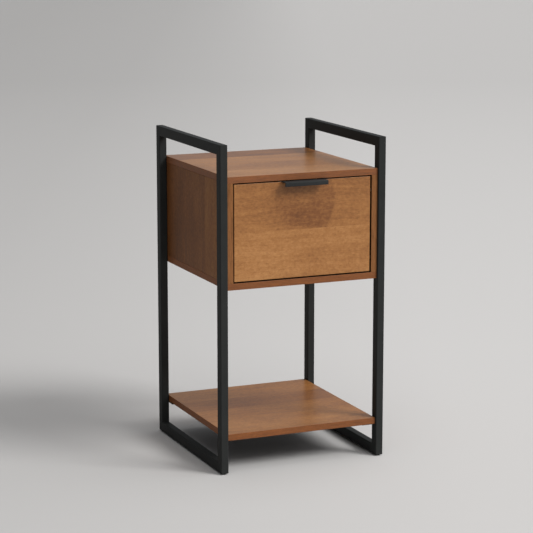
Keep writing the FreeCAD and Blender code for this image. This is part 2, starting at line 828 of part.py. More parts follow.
def build_drawer_screws():
    """Screws that hold the drawer box together and its front on."""
    turns = {-1: "-x", 1: "+x"}
    shank = "box_thick + board_bite"
    pin = screw("box_screw_one", "screw_radius", shank, "screw_head_radius", "screw_head_height")
    spots = []
    for _, side in SIDES:
        x = signed(side, "box_half - screw_head_height - head_depth")
        spots += [(x, y, z, turns[side]) for y in corner_screw_depths() for z in corner_screw_heights()]
    group("drawer_box_screws", pin, spots)
    shank = "box_thick + board_bite - tip_space"
    pin = screw("front_screw_one", "screw_radius", shank, "screw_head_radius", "screw_head_height")
    spots = [(x, "box_front + box_thick", z, "+y") for x, z in front_screw_spots()]
    group("drawer_front_screws", pin, spots)


def build_pull():
    """The folded edge pull and its two screws."""
    corner = ("-pull_length / 2", "cabinet_front - pull_reach", "pull_high - pull_lip")
    pull = new_body("drawer_pull", corner)
    depth = "pull_reach + pull_seat"
    outline = [
        ("0", "0"),
        ("pull_thick", "0"),
        ("pull_thick", "pull_lip - pull_thick"),
        (depth, "pull_lip - pull_thick"),
        (depth, "pull_lip"),
        ("0", "pull_lip"),
    ]
    sketch = new_sketch(pull, "x", "0")
    draw_outline(sketch, outline)
    pad = add_pad(pull, sketch, "x", "pull_length")
    lip = value("pull_lip")

    def bend(ends):
        lengthwise = abs(ends[0].x - ends[-1].x) > NEAR
        return lengthwise and abs(ends[0].y) < NEAR and abs(ends[0].z - lip) < NEAR

    round_edges(pull, pad, bend, "pull_thick * %s" % PULL_BEND_SHARE)
    mouths = [(x, y, "pull_high") for x, y in pull_screw_spots()]
    drill(pull, "-z", "pull_screw_radius + hole_play", "pull_thick", mouths)
    keep("drawer_pull", pull)
    head = "slim_head_radius * %s" % PULL_HEAD_SHARE
    pin = screw("pull_screw_one", "pull_screw_radius", "board_thick", head, "slim_head_height")
    group("pull_screws", pin, [(x, y, "pull_high", "+z") for x, y in pull_screw_spots()])


def channel(node, side, outline, start, length):
    """A folded channel of a slide: an outline of depth from the cabinet side and height."""
    body = new_body(node, (signed(side, "bay_half"), start, "slide_mid"))
    sketch = new_sketch(body, "y", "0")
    draw_outline(sketch, [(signed(-side, x), z) for x, z in outline])
    add_pad(body, sketch, "y", length)
    return keep(node, body)


def c_outline(web, arm_end, half, wall, lip="0"):
    """A C section: web face, arm end, half height, wall and an optional lip at the arm ends."""
    inside = "%s - %s" % (half, wall)
    drop = "%s - %s - %s" % (half, wall, lip)
    web_in = "%s + %s" % (web, wall)
    arm_in = "%s - %s" % (arm_end, wall)
    upper = [(web_in, inside)]
    if lip != "0":
        upper += [(arm_in, inside), (arm_in, drop), (arm_end, drop)]
    else:
        upper += [(arm_end, inside)]
    upper += [(arm_end, half), (web, half)]
    lower = [(x, "-(%s)" % z) for x, z in reversed(upper)]
    return lower + upper


def ball_depths():
    """Where the balls sit along a cage."""
    steps = [(i + 0.5) / BALLS_PER_ROW for i in range(BALLS_PER_ROW)]
    return ["cage_start + cage_length * %.3f" % step for step in steps]


def build_cage(word, side, kind, face, arm_end, ball_height, ball_depth):
    """One ball cage and its two rows of balls."""
    node = "%s_%s_cage" % (word, kind)
    outline = c_outline(face, arm_end, "%s + cage_wall / 2" % ball_height, "cage_wall")
    cage = channel(node, side, outline, "cage_start", "cage_length")
    x = signed(side, "bay_half - %s" % ball_depth)
    seats = [(x, y, "slide_mid") for y in ball_depths()]
    drill(cage, "z", "ball_radius + hole_play", "4 * slide_half", seats)
    ball = doc.addObject("Part::Sphere", node + "_ball_one")
    bind(ball, "Radius", "ball_radius")
    heights = ("slide_mid - %s" % ball_height, "slide_mid + %s" % ball_height)
    spots = [(x, y, z, "+z") for y in ball_depths() for z in heights]
    group("%s_%s_balls" % (word, kind), ball, spots)


def build_slides():
    """The two three-part drawer slides with cages, balls and screws."""
    screws = [(y, "slide_mid") for y in slide_screw_depths()]
    for word, side in SIDES:
        outward = "+x" if side > 0 else "-x"
        inward = "-x" if side > 0 else "+x"
        reach = "outer_lip_inside + rail_wall"
        lip = "ball_radius * %s" % RAIL_LIP_SHARE
        outline = c_outline("0", reach, "slide_half", "rail_wall", lip)
        rail = channel(word + "_cabinet_rail", side, outline, "box_front", "slide_length")
        x = signed(side, "bay_half")
        drill(rail, inward, "screw_radius + hole_play", "2 * rail_wall", [(x, y, z) for y, z in screws])

        outline = c_outline("middle_face", "middle_arm_end", "middle_half", "rail_wall")
        channel(word + "_middle_rail", side, outline, "box_front", "slide_length")

        outline = c_outline("0", "slide_thick - drawer_rail_face", "drawer_rail_half", "rail_wall")
        outline = [("slide_thick - (%s)" % depth, height) for depth, height in outline]
        rail = channel(word + "_drawer_rail", side, outline, "box_front", "slide_length")
        x = signed(side, "box_half")
        drill(rail, outward, "screw_radius + hole_play", "2 * rail_wall", [(x, y, z) for y, z in screws])

        outer = ("outer_cage_face", "outer_lip_inside", "outer_ball_height", "outer_ball_depth")
        build_cage(word, side, "outer", *outer)
        inner = ("inner_cage_face", "middle_arm_end", "inner_ball_height", "inner_ball_depth")
        build_cage(word, side, "inner", *inner)

    head = ("slim_head_radius", "slim_head_height")
    cabinet = screw("cabinet_slide_screw_one", "screw_radius", "board_bite", *head)
    drawer = screw("drawer_slide_screw_one", "screw_radius", "box_thick - rail_wall", *head)
    into_cabinet = []
    into_drawer = []
    for _, side in SIDES:
        for y, z in screws:
            into_cabinet.append((signed(side, "bay_half - rail_wall"), y, z, "-x" if side > 0 else "+x"))
            into_drawer.append((signed(side, "box_half + rail_wall"), y, z, "+x" if side > 0 else "-x"))
    group("cabinet_slide_screws", cabinet, into_cabinet)
    group("drawer_slide_screws", drawer, into_drawer)


def check_objects():
    """Stop if any object failed to compute or has a bad shape."""
    for item in doc.Objects:
        if "Invalid" in item.State or "Error" in item.State:
            raise RuntimeError("failed: %s %s" % (item.Name, item.State))
    for node, thing in nodes:
        if thing.Shape.isNull() or not thing.Shape.isValid():
            raise RuntimeError("bad shape: " + node)


def write_parts():
    """Write one STEP file for each node."""
    os.makedirs("parts", exist_ok=True)
    for node, thing in nodes:
        thing.Shape.exportStep("parts/%s.step" % node)
        box = thing.Shape.BoundBox
        print("%-24s solids %3d  x %8.2f %8.2f  y %8.2f %8.2f  z %8.2f %8.2f" % (
            node, len(thing.Shape.Solids), box.XMin, box.XMax, box.YMin, box.YMax, box.ZMin, box.ZMax))


fill_sheet()
build_frames()
build_shelf()
build_wide_boards()
build_side_panels()
build_back_panel()
build_carcass_fittings()
build_drawer_front()
build_drawer_ends()
build_drawer_sides()
build_drawer_bottom()
build_drawer_screws()
build_pull()
build_slides()
doc.recompute()
check_objects()
write_parts()
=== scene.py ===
import math

import bpy
import numpy as np
from bpy.props import FloatProperty, FloatVectorProperty, PointerProperty
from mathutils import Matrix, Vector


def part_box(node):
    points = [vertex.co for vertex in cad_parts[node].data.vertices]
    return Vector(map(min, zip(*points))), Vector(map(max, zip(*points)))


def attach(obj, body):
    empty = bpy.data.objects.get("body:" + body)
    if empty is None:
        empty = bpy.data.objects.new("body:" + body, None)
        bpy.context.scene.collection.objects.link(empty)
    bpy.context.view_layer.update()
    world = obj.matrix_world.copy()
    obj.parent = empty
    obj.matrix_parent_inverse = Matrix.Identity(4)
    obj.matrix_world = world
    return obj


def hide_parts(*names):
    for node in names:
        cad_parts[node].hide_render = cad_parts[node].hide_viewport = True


bl_info = {
    "name": "Side table with drawer",
    "version": (1, 0, 0),
    "blender": (4, 5, 0),
    "location": "3D View > Sidebar > Side table",
    "description": "Dresses a packed side table in lacquered walnut and powder-coated steel",
    "category": "Object",
}

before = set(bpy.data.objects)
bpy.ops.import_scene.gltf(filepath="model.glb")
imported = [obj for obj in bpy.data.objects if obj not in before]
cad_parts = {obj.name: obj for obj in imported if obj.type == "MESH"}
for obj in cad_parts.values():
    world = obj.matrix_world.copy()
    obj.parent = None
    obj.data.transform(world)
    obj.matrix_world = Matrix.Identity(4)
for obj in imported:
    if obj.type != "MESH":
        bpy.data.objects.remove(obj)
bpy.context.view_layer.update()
MM = 0.001
AXES = {"x": 0, "y": 1, "z": 2}
SIDES = ("left", "right")

# How much each pattern moves the tone of the wood, and how large the soft ones are:
# along, across and through the planks.
FIGURE = {"streak": 0.44, "patch": 0.46, "fibre": 0.30, "fleck": 0.60}
PATCH = (150 * MM, 60 * MM, 60 * MM)
BEND = (300 * MM, 90 * MM, 90 * MM)
BEND_REACH = 50 * MM
# How far apart, in metres per unit of tone, two planks sit in the endless grain.
ALONG_STEP = 17.3
THROUGH_STEP = 5.1
# The edge band's thickness, and how much brighter it is on the boards' ends.
BAND = 0.7 * MM
TIP_GAIN = 1.12
# How fully the painted shade covers the wood's own colour.
PAINTED_SHADE_COVER = 0.95
# Slack that takes a face just outside a limit in with it.
SLACK = 0.1 * MM

# Along and across the grain of the plywood, and the thickness of one of its layers.
BIRCH_ALONG = 120 * MM
BIRCH_ACROSS = 4 * MM
BIRCH_LAYER = 1.5 * MM
# Real fibres and spark pits are finer than this: they are drawn coarse enough to show.
RAW_FIBRE = 3 * MM
SPARK_PIT = 0.8 * MM
# Slow changes of tone over the powder coat, the metals and the floor.
POWDER_FLOW = 50 * MM
METAL_CLOUD = 20 * MM
FLOOR_CLOUD = 900 * MM
# Marks on the metals, along x, y and z: long where they were rolled, round where turned or cast.
# Real ones are finer, and these too are drawn coarse enough to show.
MARKS = {
    "rolled": (1 * MM, 50 * MM, 1 * MM),
    "turned": (2 * MM, 2 * MM, 2 * MM),
    "cast": (1.5 * MM, 1.5 * MM, 1.5 * MM),
    "polished": (10 * MM, 10 * MM, 10 * MM),
}
# Each surface's relief: its strength and its depth.
RELIEF = {
    "veneer": (0.3, 0.12 * MM),
    "powder": (0.25, 0.06 * MM),
    "metal": (0.2, 0.03 * MM),
    "plywood": (0.2, 0.10 * MM),
    "fibre": (0.3, 0.08 * MM),
    "polyethylene": (0.3, 0.05 * MM),
}
ROUGHNESS = {
    "rolled": 0.34, "turned": 0.30, "cast": 0.45, "polished": 0.14,
    "plywood": 0.50, "fibre": 0.62, "polyethylene": 0.55, "floor": 0.90,
}
# From the darkest to the lightest shade of each.
BIRCH = ("B99A6B", "CDB184", "DCC59C")
GLUE_LINE = "8A6A42"
HARDBOARD = ("6B4A30", "8A6444")
BEECH = ("B98F62", "CBA478")
POLYETHYLENE = ("171717", "232323")

# Steps in a quarter circle, and how far along it the rings of a softened end sit.
BEND_STEPS = 8
CORNER_STEPS = 4
SOFT_SHARES = np.array([0, 0.3, 0.7, 1.0])

WELD_RINGS = 41
WELD_STEPS = 6
WELD_INSET = 2.5 * MM
WELD_POOLS = 8
WELD_SWELL = 0.10
WELD_HOLLOW = 0.82
WELD_BITE = 0.05

FLOOR_RADIUS = 80
FLOOR_HUB = 0.5
FLOOR_RINGS = 12
FLOOR_SPOKES = 64
# Painted light and shade on the floor from left to right, seen from the front: a place and a share of
# its colour.
FLOOR_PAINTED_LIGHT = ((0.0, 0.76), (0.30, 0.84), (0.40, 0.89), (0.50, 0.98), (0.60, 1.07), (1.0, 1.08))
FLOOR_HALF_WIDTH = 2.5
# Painted shade: towards the back the floor fades towards black, standing in for the light falling off.
FLOOR_PAINTED_FADE = {"From Min": 1.0, "From Max": 9.0, "To Min": 0.0, "To Max": 0.16}
# Turns of the two lamps in degrees, the way to the sky's brighter side, and the sky's strength
# on its dim and its bright side. The backdrop is what the camera sees past the floor's rim.
KEY_TURN = (51, 0, 42)
DOME_TURN = (27, 0, 29)
BRIGHT_SIDE = (0.90, 0.43, 0.0)
SKY_RANGE = (0.1, 1.5)
BACKDROP = 0.75
# The camera looks at a point above the floor, from some distance. It is turned right of straight
# back by YAW, and down by PITCH.
YAW = math.radians(23.19)
PITCH = math.radians(10.96)
LOOKED_AT = (0.0, 0.01897, 0.42694)
DISTANCE = 4.56106
SENSOR_WIDTH = 36


def linear(code):
    """An sRGB hex colour as linear red, green and blue."""
    part = np.array([int(code[i:i + 2], 16) for i in (0, 2, 4)]) / 255
    return tuple(np.where(part <= 0.04045, part / 12.92, ((part + 0.055) / 1.055) ** 2.4).tolist())


def colour(name, code, description):
    """A colour property with an sRGB hex default."""
    return FloatVectorProperty(
        name=name, description=description, subtype="COLOR", size=3, min=0, max=1, default=linear(code))


def length(name, millimetres, description):
    """A length property whose default is given in millimetres."""
    size = millimetres * MM
    return FloatProperty(
        name=name, description=description, subtype="DISTANCE", unit="LENGTH", min=0, default=size)


def share(name, default, description, high=1.0):
    """A plain number property, from zero up."""
    return FloatProperty(name=name, description=description, min=0, max=high, default=default)


def angle(name, degrees, description):
    """An angle property whose default is given in degrees."""
    turn = math.radians(degrees)
    return FloatProperty(
        name=name, description=description, subtype="ANGLE", unit="ROTATION", default=turn)


class WoodSettings(bpy.types.PropertyGroup):
    """Tones and grain sizes of the lacquered boards"""

    dark: colour("Dark streak", "46270F", "Darkest streaks of the heartwood")
    brown: colour("Brown", "7C4D28", "Main tone of the darker planks")
    tan: colour("Tan", "A06C3B", "Main tone of the lighter planks")
    pale: colour("Pale", "BD8853", "Palest streaks, next to the sapwood")
    band: colour("Edge band", "884F23", "Front and end edges of the level boards")
    # Partly painted sheen: the upright band is paler and greyer than the level one, standing in for
    # lacquer sheen.
    upright: colour("Upright edge band", "90603A", "Front edges of the side panels")
    # Painted shade: the rim colour stands in for the shadow in the gap round the drawer front.
    rim: colour("Rim", "331D0E", "Painted shade on the edge all round the drawer front")
    # Painted shade: this dark colour stands in for the shadow inside the drawer bay and under the shelf.
    painted_inner_shade: colour("Bay", "100A06", "Dark stain inside the drawer bay and under the shelf")
    streak_width: length("Streak width", 11, "Width of a streak across the grain")
    streak_length: length("Streak length", 260, "Length of a streak along the grain")
    fibre_width: length("Fibre width", 2.2, "Width of the fine fibre lines, drawn coarse enough to show")
    fibre_length: length("Fibre length", 26, "Length of the fine fibre lines")
    pore_width: length("Pore width", 1.4, "Width of the open pores, drawn coarse enough to show")
    pore_length: length("Pore length", 7, "Length of the open pores")
    fleck: length("Fleck", 8, "Size of the soft flecks that mottle the lacquered figure")
    roughness: share("Lacquer roughness", 0.31, "Roughness of the satin lacquer")
    coat: share("Lacquer coat", 0.08, "Strength of the clear lacquer layer")


class SteelSettings(bpy.types.PropertyGroup):
    """Finishes of the steel frame, the pull and the fittings"""

    powder: colour("Powder coat", "303130", "Black of the tube frames")
    pull: colour("Pull", "323333", "Black of the drawer pull")
    zinc: colour("Zinc", "B4B7B6", "Bright zinc plating on slides and screws")
    cast: colour("Die-cast", "9C9D9B", "Dull zinc alloy of the cams")
    balls: colour("Balls", "C8CACC", "Polished steel of the balls in the slides")
    grit: length("Powder grit", 0.9, "Size of the fine orange peel, drawn coarse enough to show")
    roughness: share("Powder roughness", 0.46, "Roughness of the powder coat")
    weld: length("Weld size", 1.6, "Leg of the small welds inside the frame corners")
    pull_thick: length("Pull thickness", 2, "Thickness of the pull's sheet")
    pull_bend: length("Pull bend", 1.5, "Radius of the pull's bend, at the middle of the sheet")
    pull_soft: length("Pull softening", 0.45, "Radius of the pull's softened edges")


class StageSettings(bpy.types.PropertyGroup):
    """Floor, light and camera"""

    floor: colour("Floor", "C5C3C1", "Pale floor")
    sky: colour("Sky", "F4F6FA", "Soft light from all round")
    key: share("Key light", 2.2, "Strength of the main soft light", 20)
    fill: share("Sky light", 0.30, "Strength of the light from all round, on its brighter side", 5)
    key_width: angle("Key width", 23, "How wide the main light looks from the table")
    dome: share("Dome light", 1.6, "Strength of the very wide light from above", 20)
    dome_width: angle("Dome width", 86, "How wide the light from above looks from the table")
    lens: FloatProperty(name="Lens", description="Focal length in millimetres", min=10, default=130.7)


def add(tree, kind, inputs=(), stops=(), **settings):
    """Add a node with its settings, and link or set its inputs by name or number.

    Where stops are given, the node is a colour ramp and the settings are the ramp's. Each stop
    is a place and a colour or a grey.
    """
    made = tree.nodes.new(kind)
    holder = made.color_ramp if stops else made
    for name, value in settings.items():
        setattr(holder, name, value)
    if stops:
        holder.elements.remove(holder.elements[-1])
    for i, (place, tone) in enumerate(stops):
        stop = holder.elements.new(place) if i else holder.elements[0]
        stop.position = place
        stop.color = (*np.broadcast_to(tone, 3), 1)
    for key, value in dict(inputs).items():
        if isinstance(value, bpy.types.NodeSocket):
            tree.links.new(value, made.inputs[key])
        else:
            made.inputs[key].default_value = value
    return made


def new_material(name):
    """A material and its empty node tree."""
    material = bpy.data.materials.new(name)
    material.use_nodes = True
    material.node_tree.nodes.clear()
    return material, material.node_tree


def finish(tree, base, roughness, relief, others=()):
    """Join colour, roughness and relief to the shader and the output.

    The relief is a height, its strength and its depth in metres, or nothing on a flat surface.
    """
    inputs = {"Base Color": base, "Roughness": roughness, **dict(others)}
    if relief:
        height, strength, depth = relief
        bump = add(tree, "ShaderNodeBump", {"Height": height, "Strength": strength, "Distance": depth})
        inputs["Normal"] = bump.outputs[0]
    shader = add(tree, "ShaderNodeBsdfPrincipled", inputs)
    add(tree, "ShaderNodeOutputMaterial", {"Surface": shader.outputs[0]})


def stretched_noise(tree, vector, sizes, detail, roughness=0.5):
    """Noise whose features have the given sizes in metres along the three axes of the vector."""
    scale = tuple(1 / size for size in sizes)
    placed = add(tree, "ShaderNodeMapping", {"Vector": vector, "Scale": scale})
    inputs = {"Vector": placed.outputs[0], "Scale": 1.0, "Detail": detail, "Roughness": roughness}
    return add(tree, "ShaderNodeTexNoise", inputs).outputs["Fac"]


def even_noise(tree, size, detail, roughness=0.5):
    """Noise of one size in metres in every direction, on the piece's own coordinates."""
    coords = add(tree, "ShaderNodeTexCoord").outputs["Object"]
    return stretched_noise(tree, coords, (size, size, size), detail, roughness)


def weighted(tree, terms, start):
    """The sum of start and of each value times its weight."""
    total = start
    for value, weight in terms:
        node = add(tree, "ShaderNodeMath", {0: value, 1: weight, 2: total}, operation="MULTIPLY_ADD")
        total = node.outputs[0]
    return total


def wood_grain(tree, axes, low, high, planks):
    """Coordinates that run along, across and through the planks, and each plank's own tone.

    The board is cut into planks across the grain. Each plank shifts the pattern along and
    through by its tone times a long step, so no two planks show the same figure. The grain
    then bends: noise moves it sideways.
    """
    coords = add(tree, "ShaderNodeTexCoord")
    split = add(tree, "ShaderNodeSeparateXYZ", {0: coords.outputs["Object"]})
    along, across, through = (split.outputs[AXES[letter]] for letter in axes)
    place = add(tree, "ShaderNodeMapRange", {"Value": across, "From Min": low, "From Max": high})
    ramp = add(tree, "ShaderNodeValToRGB", {"Fac": place.outputs[0]}, planks, interpolation="CONSTANT")
    tone = ramp.outputs["Color"]
    along = weighted(tree, [(tone, ALONG_STEP)], along)
    through = weighted(tree, [(tone, THROUGH_STEP)], through)
    straight = add(tree, "ShaderNodeCombineXYZ", {0: along, 1: across, 2: through}).outputs[0]
    bend = stretched_noise(tree, straight, BEND, 2)
    across = weighted(tree, [(bend, BEND_REACH)], across)
    vector = add(tree, "ShaderNodeCombineXYZ", {0: along, 1: across, 2: through}).outputs[0]
    return split, tone, vector


def heart_shadow(tree, split, heart):
    """One inside the heartwood, falling off slowly on its left and quickly on its right.

    The right edge is a parabola: x plus the curve times the squared height above its tip.
    """
    x, z = split.outputs["X"], split.outputs["Z"]
    rise = add(tree, "ShaderNodeMath", {0: z, 1: heart["tip"]}, operation="SUBTRACT").outputs[0]
    square = add(tree, "ShaderNodeMath", {0: rise, 1: rise}, operation="MULTIPLY").outputs[0]
    bowed = weighted(tree, [(square, heart["curve"])], x)
    shadow = add(tree, "ShaderNodeMath", {0: z, 1: heart["from"]}, operation="GREATER_THAN").outputs[0]
    for value, (first, last) in ((x, heart["left"]), (bowed, heart["right"])):
        limits = {"Value": value, "From Min": first, "From Max": last}
        fall = add(tree, "ShaderNodeMapRange", limits, interpolation_type="SMOOTHSTEP").outputs[0]
        shadow = add(tree, "ShaderNodeMath", {0: shadow, 1: fall}, operation="MULTIPLY").outputs[0]
    return shadow


def banded_edges(tree, split, box, tips, streak, fibre, shown, rough):
    """Iron-on band on the front edge, and on both ends where tips is true: redder, lined and duller.

    Where it isn't on the ends, the board is upright and its band is the paler one: partly painted sheen,
    standing in for the lacquer sheen these duller boards don't show.
    """
    wood = bpy.context.scene.side_table_wood
    tint = wood.band if tips else wood.upright
    lined = weighted(tree, [(streak, 0.6), (fibre, 1.0)], -0.3)
    stops = [(0.25, [0.62 * part for part in tint]), (0.7, tint)]
    lines = add(tree, "ShaderNodeValToRGB", {"Fac": lined}, stops).outputs["Color"]
    front = {0: split.outputs["Y"], 1: box[0][1] + BAND}
    edge = add(tree, "ShaderNodeMath", front, operation="LESS_THAN").outputs[0]
    dull = edge
    if tips:
        width = add(tree, "ShaderNodeMath", {0: split.outputs["X"]}, operation="ABSOLUTE").outputs[0]
        end = {0: width, 1: box[1][0] - BAND}
        tip = add(tree, "ShaderNodeMath", end, operation="GREATER_THAN").outputs[0]
        bright = add(tree, "ShaderNodeVectorMath", {0: lines, "Scale": TIP_GAIN}, operation="SCALE")
        mix = {"Factor": tip, 6: shown, 7: bright.outputs[0]}
        shown = add(tree, "ShaderNodeMix", mix, data_type="RGBA").outputs[2]
        dull = add(tree, "ShaderNodeMath", {0: edge, 1: tip}, operation="MAXIMUM").outputs[0]
    mix = {"Factor": edge, 6: shown, 7: lines}
    shown = add(tree, "ShaderNodeMix", mix, data_type="RGBA").outputs[2]
    return shown, weighted(tree, [(dull, 0.3)], rough)


def paint_shade(tree, split, painted_shade, shown):
    """Painted shade: a dark colour over the wood that stands in for shadow, where every one of its tests
    on x, y or z holds.
    """
    tint, tests = painted_shade
    cover = PAINTED_SHADE_COVER
    for axis, test, limit, margin in tests:
        holds = {0: split.outputs[AXES[axis]], 1: limit, 2: margin}
        mask = add(tree, "ShaderNodeMath", holds, operation=test).outputs[0]
        cover = add(tree, "ShaderNodeMath", {0: cover, 1: mask}, operation="MULTIPLY").outputs[0]
    mix = {"Factor": cover, 6: shown, 7: (*tint, 1)}
    return add(tree, "ShaderNodeMix", mix, data_type="RGBA").outputs[2]


def lacquered_veneer(name, axes, box, planks, figure, gloss, painted_shade, band=None, heart=None):
    """Sliced walnut veneer, dyed and sprayed with satin lacquer.

    The slicing leaves long streaks, fine fibres and open pores, the dye evens them to warm
    browns, and the lacquer gives a soft sheen in which the posts show faintly. One value is
    summed from the plank's tone, streaks, patches, fibres and flecks, each about its own
    middle, and a colour ramp turns it into wood tones. Pores darken it. Last, painted shade
    darkens the wood where its tests hold, standing in for shadow.
    """
    wood = bpy.context.scene.side_table_wood
    material, tree = new_material(name)
    across = AXES[axes[1]]
    split, tone, vector = wood_grain(tree, axes, box[0][across], box[1][across], planks)
    streak_size = (wood.streak_length, wood.streak_width, wood.streak_width)
    fibre_size = (wood.fibre_length, wood.fibre_width, wood.fibre_width)
    fleck_size = (wood.fleck, 0.8 * wood.fleck, 0.8 * wood.fleck)
    pore_size = (wood.pore_length, wood.pore_width, wood.pore_width)
    patterns = {
        "streak": stretched_noise(tree, vector, streak_size, 5, 0.6),
        "patch": stretched_noise(tree, vector, PATCH, 3),
        "fibre": stretched_noise(tree, vector, fibre_size, 3),
        "fleck": stretched_noise(tree, vector, fleck_size, 4, 0.6),
    }
    terms = [(patterns[kind], figure * weight) for kind, weight in FIGURE.items()]
    middle = sum(weight for _, weight in terms) / 2
    if heart:
        terms.append((heart_shadow(tree, split, heart), -heart["depth"]))
    centred = add(tree, "ShaderNodeMath", {0: tone, 1: -middle}, operation="ADD").outputs[0]
    stops = ((0.08, wood.dark), (0.36, wood.brown), (0.62, wood.tan), (0.90, wood.pale))
    ramp = add(tree, "ShaderNodeValToRGB", {"Fac": weighted(tree, terms, centred)}, stops)
    shown = ramp.outputs["Color"]
    streak, fibre = patterns["streak"], patterns["fibre"]
    rough = weighted(tree, [(streak, 0.12), (fibre, 0.08)], wood.roughness - 0.10 + 0.2 * (1 - gloss))
    if band:
        shown, rough = banded_edges(tree, split, box, band == "tips", streak, fibre, shown, rough)
    pore = stretched_noise(tree, vector, pore_size, 2, 0.7)
    pores = add(tree, "ShaderNodeValToRGB", {"Fac": pore}, [(0.56, 0.0), (0.72, 0.45)]).outputs["Color"]
    mix = {"Factor": pores, 6: shown, 7: (*wood.dark, 1)}
    shown = add(tree, "ShaderNodeMix", mix, data_type="RGBA").outputs[2]
    # Painted shade: darkens the wood where it stands in for shadow.
    shown = paint_shade(tree, split, painted_shade, shown)
    relief = weighted(tree, [(fibre, 0.6), (pores, -0.6)], 0.5)
    finish(tree, shown, rough, (relief, *RELIEF["veneer"]), {
        "Specular IOR Level": 0.06 + 0.45 * gloss,
        "Coat Weight": wood.coat * gloss,
        "Coat Roughness": 0.25,
    })
    return material


def powder_coat(name, tint):
    """Black polyester powder, sprayed and baked on steel.

    Baking lets it flow into an even satin black that takes little light, with a fine orange
    peel, which is drawn coarser than it is so that it shows.
    """
    steel = bpy.context.scene.side_table_steel
    material, tree = new_material(name)
    peel = even_noise(tree, steel.grit, 2)
    flow = even_noise(tree, POWDER_FLOW, 2)
    tone = weighted(tree, [(peel, 0.22), (flow, 0.25)], 0.26)
    stops = [(0.3, [0.72 * part for part in tint]), (0.7, [1.25 * part for part in tint])]
    base = add(tree, "ShaderNodeValToRGB", {"Fac": tone}, stops).outputs["Color"]
    rough = weighted(tree, [(flow, 0.10)], steel.roughness - 0.05)
    finish(tree, base, rough, (peel, *RELIEF["powder"]), {"Specular IOR Level": 0.03})
    return material


def bare_metal(name, tint, made):
    """Zinc-plated, die-cast or polished metal, with the faint marks of how it was made.

    The marks and some wider clouds vary its grey a little and break up its gleam.
    """
    material, tree = new_material(name)
    coords = add(tree, "ShaderNodeTexCoord").outputs["Object"]
    marks = stretched_noise(tree, coords, MARKS[made], 3)
    clouds = even_noise(tree, METAL_CLOUD, 2)
    tone = weighted(tree, [(marks, 0.3), (clouds, 0.4)], 0.15)
    stops = [(0.3, [0.78 * part for part in tint]), (0.75, tint)]
    base = add(tree, "ShaderNodeValToRGB", {"Fac": tone}, stops).outputs["Color"]
    rough = weighted(tree, [(marks, 0.16)], ROUGHNESS[made] - 0.08)
    finish(tree, base, rough, (marks, *RELIEF["metal"]), {"Metallic": 1.0})
    return material


def birch_plywood(name, along, through):
    """Birch plywood, peeled, pressed, cut and clear-lacquered.

    Its faces are pale with a long soft grain, and its top and bottom edges show the glued
    layers as darker lines: every second layer of veneer is dark where the face looks up or down.
    """
    material, tree = new_material(name)
    coords = add(tree, "ShaderNodeTexCoord")
    split = add(tree, "ShaderNodeSeparateXYZ", {0: coords.outputs["Object"]})
    facing = add(tree, "ShaderNodeSeparateXYZ", {0: coords.outputs["Normal"]})
    sizes = [BIRCH_ACROSS] * 3
    sizes[AXES[along]] = BIRCH_ALONG
    grain = stretched_noise(tree, coords.outputs["Object"], sizes, 4, 0.6)
    stops = [(place, linear(code)) for place, code in zip((0.3, 0.5, 0.75), BIRCH)]
    face = add(tree, "ShaderNodeValToRGB", {"Fac": grain}, stops).outputs["Color"]
    layers = {0: split.outputs[AXES[through]], 1: BIRCH_LAYER}
    depth = add(tree, "ShaderNodeMath", layers, operation="DIVIDE").outputs[0]
    layer = add(tree, "ShaderNodeMath", {0: depth, 1: 2.0}, operation="FLOORED_MODULO").outputs[0]
    dark = add(tree, "ShaderNodeMath", {0: layer, 1: 1.0}, operation="GREATER_THAN").outputs[0]
    level = add(tree, "ShaderNodeMath", {0: facing.outputs["Z"]}, operation="ABSOLUTE").outputs[0]
    edge = add(tree, "ShaderNodeMath", {0: level, 1: 0.7}, operation="GREATER_THAN").outputs[0]
    lines = add(tree, "ShaderNodeMath", {0: edge, 1: dark}, operation="MULTIPLY").outputs[0]
    mix = {"Factor": lines, 6: face, 7: (*linear(GLUE_LINE), 1)}
    shown = add(tree, "ShaderNodeMix", mix, data_type="RGBA").outputs[2]
    finish(tree, shown, ROUGHNESS["plywood"], (grain, *RELIEF["plywood"]))
    return material


def raw_fibres(name, codes):
    """Pressed hardboard or turned beech dowel, left raw: short fibres that make it dull and speckled."""
    material, tree = new_material(name)
    fibres = even_noise(tree, RAW_FIBRE, 4, 0.7)
    stops = [(0.35, linear(codes[0])), (0.7, linear(codes[1]))]
    base = add(tree, "ShaderNodeValToRGB", {"Fac": fibres}, stops).outputs["Color"]
    finish(tree, base, ROUGHNESS["fibre"], (fibres, *RELIEF["fibre"]))
    return material


def moulded_polyethylene(name):
    """Black polyethylene, moulded in a spark-eroded mould, which leaves it dull and finely pitted."""
    material, tree = new_material(name)
    pits = even_noise(tree, SPARK_PIT, 2)
    stops = [(0.3, linear(POLYETHYLENE[0])), (0.7, linear(POLYETHYLENE[1]))]
    base = add(tree, "ShaderNodeValToRGB", {"Fac": pits}, stops).outputs["Color"]
    finish(tree, base, ROUGHNESS["polyethylene"], (pits, *RELIEF["polyethylene"]))
    return material


